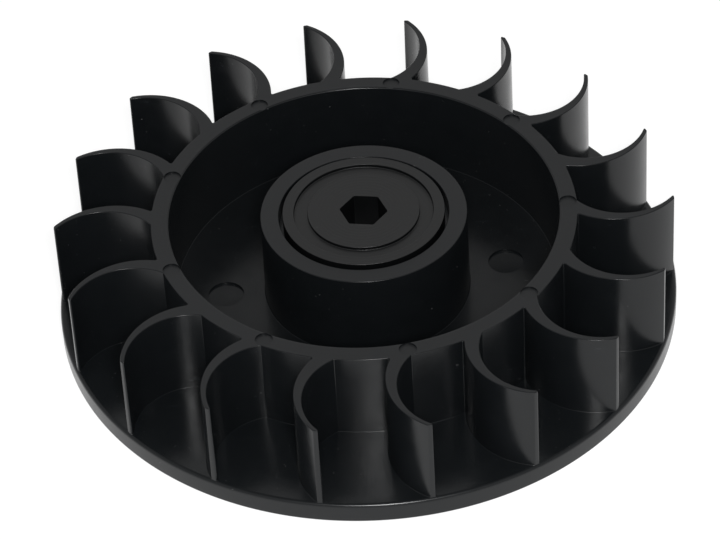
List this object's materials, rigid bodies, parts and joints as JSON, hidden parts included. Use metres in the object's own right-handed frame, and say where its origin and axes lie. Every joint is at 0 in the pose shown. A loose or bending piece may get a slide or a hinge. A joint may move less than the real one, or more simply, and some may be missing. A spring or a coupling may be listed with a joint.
{
  "type": "water turbine wheel with ball-bearing hub",
  "caption": "Black plastic turbine wheel: disc with cupped radial vanes, ring wall and hub, hexagonal drive cap and a shielded ball bearing in the hub's underside.",
  "frame": {"origin": "on the spin axis, at the level of the disc's underside", "axes": "+Z along the spin axis, from the disc towards the vanes and the drive cap; +X at 0.48 degrees past one vane's tip"},
  "size_m": [0.1142, 0.1142, 0.0221],
  "materials": {
    "wheel_plastic": "glossy moulded black, satin on the top faces",
    "cap_plastic": "satin moulded black",
    "race_steel": "ground bearing steel",
    "ball_steel": "polished",
    "cage_steel": "pressed sheet steel",
    "shield_steel": "pressed sheet steel"
  },
  "bodies": {
    "axle_seat": {"bearing_inner_race": "race_steel"},
    "wheel": {"turbine_wheel": "wheel_plastic", "drive_cap": "cap_plastic", "bearing_outer_race": "race_steel", "bearing_shield_upper": "shield_steel", "bearing_shield_lower": "shield_steel"},
    "cage": {"cage_half_upper": "cage_steel", "cage_half_lower": "cage_steel", "cage_rivet_1": "cage_steel", "cage_rivet_2": "cage_steel", "cage_rivet_3": "cage_steel", "cage_rivet_4": "cage_steel", "cage_rivet_5": "cage_steel", "cage_rivet_6": "cage_steel", "cage_rivet_7": "cage_steel", "cage_rivet_8": "cage_steel", "cage_rivet_9": "cage_steel"},
    "ball_1": {"bearing_ball_1": "ball_steel"},
    "ball_2": {"bearing_ball_2": "ball_steel"},
    "ball_3": {"bearing_ball_3": "ball_steel"},
    "ball_4": {"bearing_ball_4": "ball_steel"},
    "ball_5": {"bearing_ball_5": "ball_steel"},
    "ball_6": {"bearing_ball_6": "ball_steel"},
    "ball_7": {"bearing_ball_7": "ball_steel"},
    "ball_8": {"bearing_ball_8": "ball_steel"},
    "ball_9": {"bearing_ball_9": "ball_steel"}
  },
  "joints": [
    {"name": "wheel_spin", "type": "hinge", "parent": "axle_seat", "child": "wheel", "pos_m": [0, 0, 0.00497], "axis": [0, 0, 1], "continuous": true},
    {"name": "cage_spin", "type": "hinge", "parent": "axle_seat", "child": "cage", "pos_m": [0, 0, 0.00497], "axis": [0, 0, 1], "continuous": true},
    {"name": "ball_1_spin", "type": "hinge", "parent": "cage", "child": "ball_1", "pos_m": [0.01032, 0, 0.00497], "axis": [0, 0, 1], "continuous": true},
    {"name": "ball_2_spin", "type": "hinge", "parent": "cage", "child": "ball_2", "pos_m": [0.0079, 0.00663, 0.00497], "axis": [0, 0, 1], "continuous": true},
    {"name": "ball_3_spin", "type": "hinge", "parent": "cage", "child": "ball_3", "pos_m": [0.00179, 0.01016, 0.00497], "axis": [0, 0, 1], "continuous": true},
    {"name": "ball_4_spin", "type": "hinge", "parent": "cage", "child": "ball_4", "pos_m": [-0.00516, 0.00894, 0.00497], "axis": [0, 0, 1], "continuous": true},
    {"name": "ball_5_spin", "type": "hinge", "parent": "cage", "child": "ball_5", "pos_m": [-0.0097, 0.00353, 0.00497], "axis": [0, 0, 1], "continuous": true},
    {"name": "ball_6_spin", "type": "hinge", "parent": "cage", "child": "ball_6", "pos_m": [-0.0097, -0.00353, 0.00497], "axis": [0, 0, 1], "continuous": true},
    {"name": "ball_7_spin", "type": "hinge", "parent": "cage", "child": "ball_7", "pos_m": [-0.00516, -0.00894, 0.00497], "axis": [0, 0, 1], "continuous": true},
    {"name": "ball_8_spin", "type": "hinge", "parent": "cage", "child": "ball_8", "pos_m": [0.00179, -0.01016, 0.00497], "axis": [0, 0, 1], "continuous": true},
    {"name": "ball_9_spin", "type": "hinge", "parent": "cage", "child": "ball_9", "pos_m": [0.0079, -0.00663, 0.00497], "axis": [0, 0, 1], "continuous": true}
  ],
  "couplings": [
    {"joint": "cage_spin", "follows": "wheel_spin", "ratio": 0.59616},
    {"joint": "ball_1_spin", "follows": "wheel_spin", "ratio": 2.5037},
    {"joint": "ball_2_spin", "follows": "wheel_spin", "ratio": 2.5037},
    {"joint": "ball_3_spin", "follows": "wheel_spin", "ratio": 2.5037},
    {"joint": "ball_4_spin", "follows": "wheel_spin", "ratio": 2.5037},
    {"joint": "ball_5_spin", "follows": "wheel_spin", "ratio": 2.5037},
    {"joint": "ball_6_spin", "follows": "wheel_spin", "ratio": 2.5037},
    {"joint": "ball_7_spin", "follows": "wheel_spin", "ratio": 2.5037},
    {"joint": "ball_8_spin", "follows": "wheel_spin", "ratio": 2.5037},
    {"joint": "ball_9_spin", "follows": "wheel_spin", "ratio": 2.5037}
  ]
}
